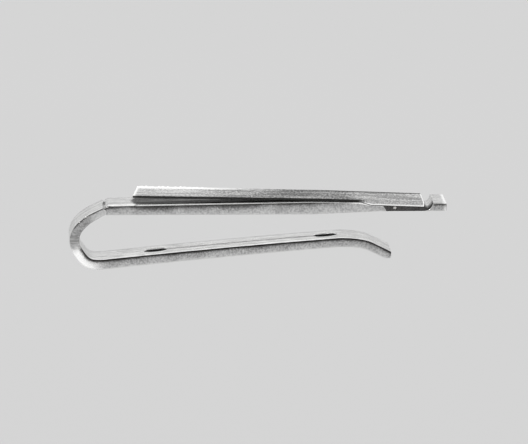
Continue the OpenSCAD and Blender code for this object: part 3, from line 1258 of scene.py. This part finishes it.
@dataclass
class TopLeaf:
    """The thin leaf with its folded ears, its lug and its skewed free end."""

    layout: Layout
    free_x: float = 4.0
    end_skew: float = 5.0
    skewed_length: float = 12.0
    lug_width: float = 3.0
    lug_size: float = 0.96
    bore: float = 0.56
    # Roundings of the two ends and of the sheet's edges.
    free_round: float = 0.12
    heel_round: float = 0.1
    fold_round: Span = (0.1, 0.04)
    edge_rounds: tuple[float, float, float] = (0.06, 0.05, 0.04)
    lug_edge: float = 0.03
    # Tones of the sheet: painted shade on its side faces and on the faces below it before the ears,
    # a stretch along the top that is darker, and painted highlights towards the free end and the
    # heel.
    rim_at: Span = (0.09, 0.02)
    rim_dark: float = 0.97
    under_dark: float = 0.6
    dark_stretch: Band = Band(14.0, 30.0, 35.0, 39.0)
    dark_stretch_depth: float = 0.2
    free_shine: float = 0.26
    free_until: Span = (8.0, 24.0)
    heel_shine: float = 0.1
    heel_from: Span = (36.0, 39.0)
    # The far edge curls up and is rough near the free end.
    curl: float = 0.1
    curl_until: Span = (14.0, 32.0)
    burr: float = 0.16
    burr_until: Span = (12.0, 17.0)

    def web(self) -> Grid:
        """Draws half of the sheet with its ear.

        Returns:
            A grid of rows from the free end to the heel. The skew of the free end and the rough
            far edge are added later, in make.
        """
        lay, free_round, heel_round = self.layout, self.free_round, self.heel_round
        flare = lay.ear_x - lay.ear_flare
        u = stations((0, 0.5, 8), (0.5, 12, 120), (12, flare - self.free_x, 90),
                     (flare - self.free_x, lay.ear_x - self.free_x, 16),
                     (lay.ear_x - self.free_x, lay.heel_x - heel_round - self.free_x, 40),
                     (lay.heel_x - heel_round - self.free_x, lay.heel_x - self.free_x, 5))
        x = u + self.free_x
        near_end = np.clip(free_round - u, 0, free_round)
        far_end = np.clip(x - (lay.heel_x - heel_round), 0, heel_round)
        inset = (free_round - np.sqrt(free_round ** 2 - near_end ** 2)
                 + heel_round - np.sqrt(heel_round ** 2 - far_end ** 2))
        under = lay.under(x)
        high = under + lay.leaf_thickness - inset
        low = under + np.minimum(inset, heel_round)
        drop = (lay.ear_height - lay.leaf_thickness) * np.clip((x - flare) / lay.ear_flare, 0, 1)
        half = lay.half - inset * 0.6
        inner = half - lay.leaf_thickness
        wide, narrow = self.fold_round
        fold = wide - (wide - narrow) * ease(x, flare - 2, lay.ear_x)
        tip_round, inner_round, root_round = self.edge_rounds
        points, edge = outline([
            Corner(0.0, high, 0.0, 22), Corner(half, high, fold, 7),
            Corner(half, low - drop, tip_round, 3), Corner(inner, low - drop, inner_round, 4),
            Corner(inner, low, root_round, 16), Corner(0.0, low, 0.0, 2)], len(x))
        y, z = points[..., 0], points[..., 1]
        x_all = x[:, None] + 0 * y
        # Painted shade on the side faces and the faces below, before the ears; the top is darker
        # along one stretch.
        rim = towards(y, half, *self.rim_at)
        plain = 1 - ease(x_all, flare - 0.6, lay.ear_x - 0.2)
        lower = (edge >= 2)[None] + 0 * y
        dark = np.maximum(rim * plain * self.rim_dark, lower * plain * self.under_dark)
        shade = (1 - dark) * (1 - self.dark_stretch_depth * self.dark_stretch.at(x_all) * (1 - lower))
        # Painted highlights: a line along the ears' lower rim, the heel's end, the free end and the
        # top's left part.
        bottom = (drop > 0.05)[:, None] * (1 - ease(z - (low - drop)[:, None], 0.12, 0.19))
        bottom = bottom * ease(y, inner[:, None] + 0.1, inner[:, None] + 0.3) * (1 - plain)
        heel = ease(x_all, lay.heel_x - 0.24, lay.heel_x - 0.12)
        tip = 1 - ease(x_all, self.free_x + 0.1, self.free_x + 0.7)
        left = self.free_shine * (1 - ease(x_all, *self.free_until)) * (1 - rim)
        painted_highlight = np.clip(np.maximum(np.maximum(bottom, heel), np.maximum(tip, left)), 0, 1)
        return Grid.from_loops(x_all, y, z, x_all, shade, painted_highlight, middle_wall(edge, 0 * x))

    def lug(self) -> Grid:
        """Draws the lug, an eye round the pin with a neck up into the sheet.

        Returns:
            A grid closed both ways. Its rows go round the pin, and its columns go over the
            outside from one face to the other and back through the bore.
        """
        lay = self.layout
        hx, hz = lay.hinge
        angle = np.linspace(0, 2 * np.pi, 97)
        r, top = self.lug_size / 2, float(lay.under(np.array(hx))) - hz + lay.leaf_thickness / 2
        c, s = np.cos(angle), np.sin(angle)
        square = np.minimum(r / np.maximum(np.abs(c), 1e-6), top / np.maximum(s, 1e-6))
        outer = np.where(s > 0, square, r)
        ring = self.bore / 2
        w, cut, bore = self.lug_width / 2, self.lug_edge, ring + 0 * outer
        y = np.array([-w, -w, -w + cut, w - cut, w, w, w, -w])
        reach = np.stack([bore, outer - cut, outer, outer, outer - cut, bore, bore, bore], 1)
        x = hx + reach * c[:, None]
        z = hz + reach * s[:, None]
        # The lug, under the leaf between the ears, gets painted shade of 0.6 all over.
        return Grid.from_loops(x, y[None] + 0 * x, z, x, 0.6)

    def make(self, origin: np.ndarray) -> bpy.types.Object:
        """Makes the leaf.

        Args:
            origin: Profile frame's origin in the row frame.

        Returns:
            The piece.
        """
        lay = self.layout
        far = self.web()
        near = far.mirrored()
        skew = math.tan(math.radians(self.end_skew))
        for grid in (near, far):
            x, y = grid.points[..., 0], grid.points[..., 1]
            fade = 1 - ease(x, self.free_x, self.free_x + self.skewed_length)
            grid.points[..., 0] = x + fade * skew * (y + lay.half)
        x, y = far.points[..., 0], far.points[..., 1]
        burr = (1 - ease(x, *self.burr_until)) * ease(np.abs(y), lay.half - 0.6, lay.half - 0.15)
        curl = self.curl * ease(y, 3.2, 4.8) * (1 - ease(x, *self.curl_until))
        far.points[..., 2] += curl + burr * self.burr * np.abs(waves(x, 34, 1.7, 3))
        # Painted highlight along the far edge near the free end, and painted shade along the far
        # edge near the heel.
        far.painted_highlight = np.maximum(far.painted_highlight, ease(y, 3.2, 3.9) * (1 - ease(x, 12, 30)))
        far.shade = far.shade * (1 - 0.75 * ease(y, 3.7, 4.5) * ease(x, 29, 36))
        # A faint painted highlight towards the heel.
        for grid in (near, far):
            shine = self.heel_shine * ease(grid.points[..., 0], *self.heel_from)
            grid.painted_highlight = np.maximum(grid.painted_highlight, shine)
        obj = make_piece("top_leaf_sheet", [near, far, self.lug()], origin)
        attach(obj, Body.LEAF.value)
        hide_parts("top_leaf")
        return obj


@dataclass
class HingePin:
    """The pin through the plate's middle part and the leaf's lug."""

    layout: Layout
    size: float = 0.5
    dome: float = 0.07
    proud: float = 0.05

    def make(self, origin: np.ndarray) -> bpy.types.Object:
        """Makes the pin, a round bar whose ends are domed like an ellipse.

        Args:
            origin: Profile frame's origin in the row frame.

        Returns:
            The piece.
        """
        lay = self.layout
        w = lay.half - lay.leaf_thickness - lay.side_gap + self.proud
        turn = np.linspace(0, np.pi / 2, 9)
        y = np.concatenate([-w - self.dome * np.cos(turn) + self.dome,
                            np.linspace(-w + self.dome, w - self.dome, 24)[1:-1],
                            w + self.dome * np.cos(turn[::-1]) - self.dome])
        r = np.concatenate([np.sin(turn), np.ones(22), np.sin(turn[::-1])]) * self.size / 2
        angle = np.linspace(0, 2 * np.pi, 49)[:-1]
        x = lay.hinge[0] + r[:, None] * np.cos(angle)
        z = lay.hinge[1] + r[:, None] * np.sin(angle)
        grid = Grid.from_loops(x, y[:, None] + 0 * x, z, y[:, None] + 0 * x, 1.0)
        grid.side = 0 * grid.side
        obj = make_piece("hinge_pin_bar", [grid], origin)
        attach(obj, Body.PLATE.value)
        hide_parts("hinge_pin")
        return obj


@dataclass
class LeafSpring:
    """The small bowed spring that lifts the heel."""

    layout: Layout
    thickness: float = 0.1
    width: float = 3.2
    length: float = 2.8
    rise: float = 0.16
    start: float = 1.1
    edge_round: float = 0.03
    rows: int = 60

    def make(self, origin: np.ndarray) -> bpy.types.Object:
        """Makes the spring along one shallow arc that stands on the seat's slope.

        Args:
            origin: Profile frame's origin in the row frame.

        Returns:
            The piece.
        """
        lay = self.layout
        relief = lay.heel_relief(lay.gap)
        fall = math.radians(lay.knee_tilt + lay.opening)
        half = self.length / 2
        r = (half ** 2 + self.rise ** 2) / (2 * self.rise)
        span = math.asin(half / r)
        x0 = lay.hinge[0] + self.start
        z0 = relief[1] - (x0 - relief[0]) * math.tan(fall) - lay.gap
        lift = self.thickness / 2 * math.cos(span) - (self.thickness + lay.gap)
        start = (x0 + lift * math.sin(fall), z0 + lift * math.cos(fall))
        path = Path(start, math.degrees(span - fall), ((2 * r * span, -math.degrees(2 * span)),),
                    blur=0.02)
        s = np.linspace(0, 2 * r * span, self.rows)
        t, w, corner = self.thickness / 2, self.width / 2, self.edge_round
        points, edge = outline([Corner(0.0, t, 0.0, 10), Corner(w, t, corner, 3),
                                Corner(w, -t, corner, 10), Corner(0.0, -t, 0.0, 2)], len(s), 4)
        centre, normal = path.at(s[:, None] + 0 * points[..., 0])
        x = centre[..., 0] + normal[..., 0] * points[..., 1]
        z = centre[..., 1] + normal[..., 1] * points[..., 1]
        grid = Grid.from_loops(x, points[..., 0], z, s[:, None] + 0 * x,
                               skip=middle_wall(edge, 0 * s))
        obj = make_piece("leaf_spring_bow", [grid, grid.mirrored()], origin)
        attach(obj, Body.PLATE.value)
        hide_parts("leaf_spring")
        return obj


# ---------------------------------------------------------------- the studio


@dataclass
class Studio:
    """A pale floor, a soft sky and one soft light, with a long lens."""

    azimuth: float = -2.0
    elevation: float = 7.7
    distance: float = 1.332
    lens: float = 600.0
    aim: tuple[float, float, float] = (0.00104, 0.0, 0.00653)
    floor_z: float = -0.045
    floor_half: float = 6.0
    floor_tone: float = 0.55
    sky_low: float = 0.74
    sky_band: float = 1.25
    sky_top: float = 0.36
    sky_front: float = 0.75
    sun_power: float = 3.28
    sun_from: Span = (-47.0, 40.0)
    sun_width: float = 12.0
    sensor: float = 36.0
    clip: Span = (0.01, 50.0)
    # The sky brightens and darkens between these shares of the height, and of the depth.
    band_at: Span = (0.13, 0.26)
    top_at: Span = (0.36, 0.6)
    front_at: Span = (-0.3, 0.3)
    mottle_size: float = 3.0
    mottle: Span = (0.995, 1.005)

    def floor(self) -> bpy.types.Object:
        """Makes the floor, a wide flat sheet with a faint mottle.

        Returns:
            The floor.
        """
        k = self.floor_half
        mesh = bpy.data.meshes.new("floor")
        mesh.from_pydata([(-k, -k, self.floor_z), (k, -k, self.floor_z), (k, k, self.floor_z),
                          (-k, k, self.floor_z)], [], [(0, 1, 2, 3)])
        obj = bpy.data.objects.new("floor", mesh)
        bpy.context.scene.collection.objects.link(obj)
        material = bpy.data.materials.new("pale_floor")
        material.use_nodes = True
        n = Nodes(material.node_tree)
        place = n.add("ShaderNodeTexCoord").outputs["Object"]
        noise = n.add("ShaderNodeTexNoise", Vector=place, Scale=self.mottle_size,
                      Detail=2.0).outputs[0]
        low, high = (self.floor_tone * share for share in self.mottle)
        tone = n.fit(noise, (0.2, 0.8), (low, high))
        colour = n.add("ShaderNodeCombineColor", Red=tone, Green=tone, Blue=tone).outputs[0]
        shader = n.add("ShaderNodeBsdfDiffuse", Color=colour)
        n.add("ShaderNodeOutputMaterial", Surface=shader.outputs[0])
        mesh.materials.append(material)
        return obj

    def sky(self) -> None:
        """Lights the scene with a sky that is bright near the horizon and dark overhead."""
        world = bpy.data.worlds.new("studio_sky")
        bpy.context.scene.world = world
        world.use_nodes = True
        n = Nodes(world.node_tree)
        place = n.add("ShaderNodeTexCoord").outputs["Generated"]
        split = n.add("ShaderNodeSeparateXYZ", Vector=place)
        band = n.fit(split.outputs["Z"], self.band_at, (self.sky_low, self.sky_band))
        up = n.fit(split.outputs["Z"], self.top_at, (1.0, self.sky_top))
        back = n.fit(split.outputs["Y"], self.front_at, (self.sky_front, 1.0))
        strength = n.maths("MULTIPLY", n.maths("MULTIPLY", band, up), back)
        shader = n.add("ShaderNodeBackground", Color=(1, 1, 1, 1), Strength=strength)
        n.add("ShaderNodeOutputWorld", Surface=shader.outputs[0])

    def sun(self) -> None:
        """Adds the soft light from the upper left."""
        light = bpy.data.lights.new("soft_sun", "SUN")
        light.energy = self.sun_power
        light.angle = math.radians(self.sun_width)
        obj = bpy.data.objects.new("soft_sun", light)
        az, el = (math.radians(a) for a in self.sun_from)
        obj.rotation_euler = (math.pi / 2 - el, 0.0, az)
        bpy.context.scene.collection.objects.link(obj)

    def camera(self) -> None:
        """Places the camera."""
        data = bpy.data.cameras.new("camera")
        data.lens = self.lens
        data.sensor_width = self.sensor
        data.clip_start, data.clip_end = self.clip
        obj = bpy.data.objects.new("camera", data)
        az, el = math.radians(self.azimuth), math.radians(self.elevation)
        back = np.array([math.sin(az) * math.cos(el), -math.cos(az) * math.cos(el), math.sin(el)])
        obj.location = np.array(self.aim) + back * self.distance
        obj.rotation_euler = (math.pi / 2 - el, 0.0, az)
        bpy.context.scene.collection.objects.link(obj)
        bpy.context.scene.camera = obj

    def build(self) -> None:
        """Builds the floor, the lights and the camera."""
        self.floor()
        self.sky()
        self.sun()
        self.camera()


def main() -> None:
    """Builds the clip piece by piece, then the studio round it."""
    logging.basicConfig(level=logging.INFO, format="%(name)s: %(message)s")
    layout = Layout()
    lo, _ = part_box("front_plate")
    origin = np.array([lo.x / MM, 0.0, lo.z / MM])
    strip = SpringStrip(layout)
    finishes = Finishes()
    made = {
        "polished": [BendSpring(strip).make(origin), BackLeg(strip).make(origin),
                     FrontPlate(layout).make(origin)],
        "brushed": [TopLeaf(layout).make(origin)],
        "steel": [HingePin(layout).make(origin), LeafSpring(layout).make(origin)],
    }
    for name, pieces in made.items():
        material = getattr(finishes, name).build()
        for piece in pieces:
            piece.data.materials.append(material)
    Studio().build()
    bpy.context.scene.view_settings.view_transform = "Standard"


if __name__ == "__main__":
    main()
